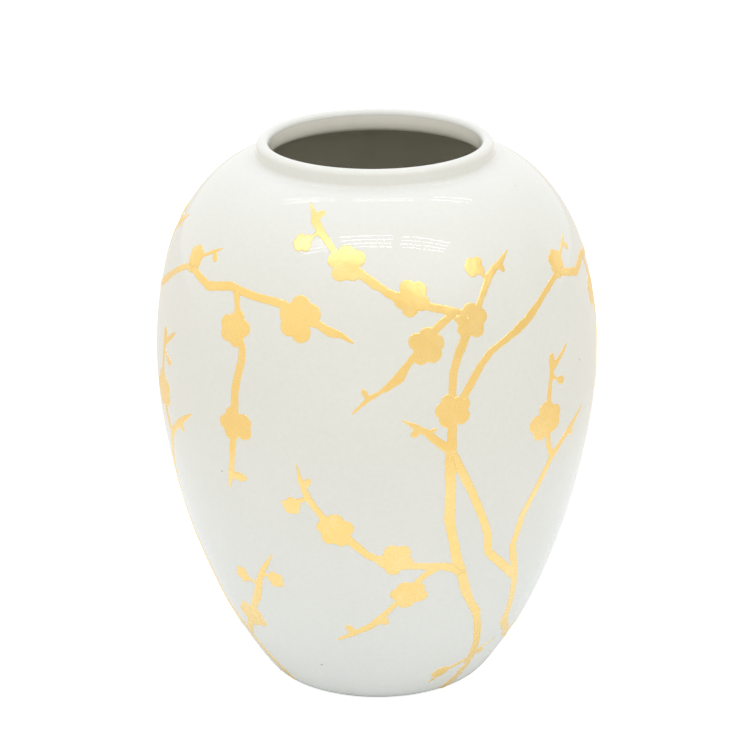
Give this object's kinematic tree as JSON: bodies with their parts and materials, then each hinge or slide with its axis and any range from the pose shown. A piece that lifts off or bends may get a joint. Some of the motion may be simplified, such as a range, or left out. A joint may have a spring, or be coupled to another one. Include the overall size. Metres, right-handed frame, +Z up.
{
  "type": "vase",
  "caption": "Ovoid glazed porcelain vase with a short collar, round lip and foot ring, and raised gilt blossoming branches around the wall.",
  "frame": {"origin": "on the vase's axis, at the level of the foot ring's resting face", "axes": "+Z up along the vase's axis, -Y out of the side with the first tree, +X to the right of that side"},
  "size_m": [0.242, 0.2416, 0.305],
  "materials": {
    "glazed_porcelain": "gloss",
    "raised_gilding": "bright fired gold"
  },
  "bodies": {
    "root": {"porcelain_body": "glazed_porcelain", "gilt_trunk_front": "raised_gilding", "gilt_trunk_left": "raised_gilding", "gilt_trunk_right": "raised_gilding", "gilt_low_bough_front": "raised_gilding", "gilt_low_bough_left": "raised_gilding", "gilt_low_bough_right": "raised_gilding", "gilt_crown_front": "raised_gilding", "gilt_crown_left": "raised_gilding", "gilt_crown_right": "raised_gilding", "gilt_left_bough_front": "raised_gilding", "gilt_left_bough_left": "raised_gilding", "gilt_right_bough_front": "raised_gilding", "gilt_right_bough_left": "raised_gilding", "gilt_right_bough_right": "raised_gilding", "gilt_far_bough_front": "raised_gilding", "gilt_far_bough_left": "raised_gilding", "gilt_far_bough_right": "raised_gilding", "gilt_hanging_spray_front": "raised_gilding", "gilt_hanging_spray_left": "raised_gilding", "gilt_hanging_spray_right": "raised_gilding", "gilt_side_stem_front": "raised_gilding", "gilt_side_stem_left": "raised_gilding", "gilt_side_stem_right": "raised_gilding", "gilt_low_sprig_front": "raised_gilding", "gilt_low_sprig_left": "raised_gilding", "gilt_low_sprig_right": "raised_gilding"}
  },
  "joints": []
}
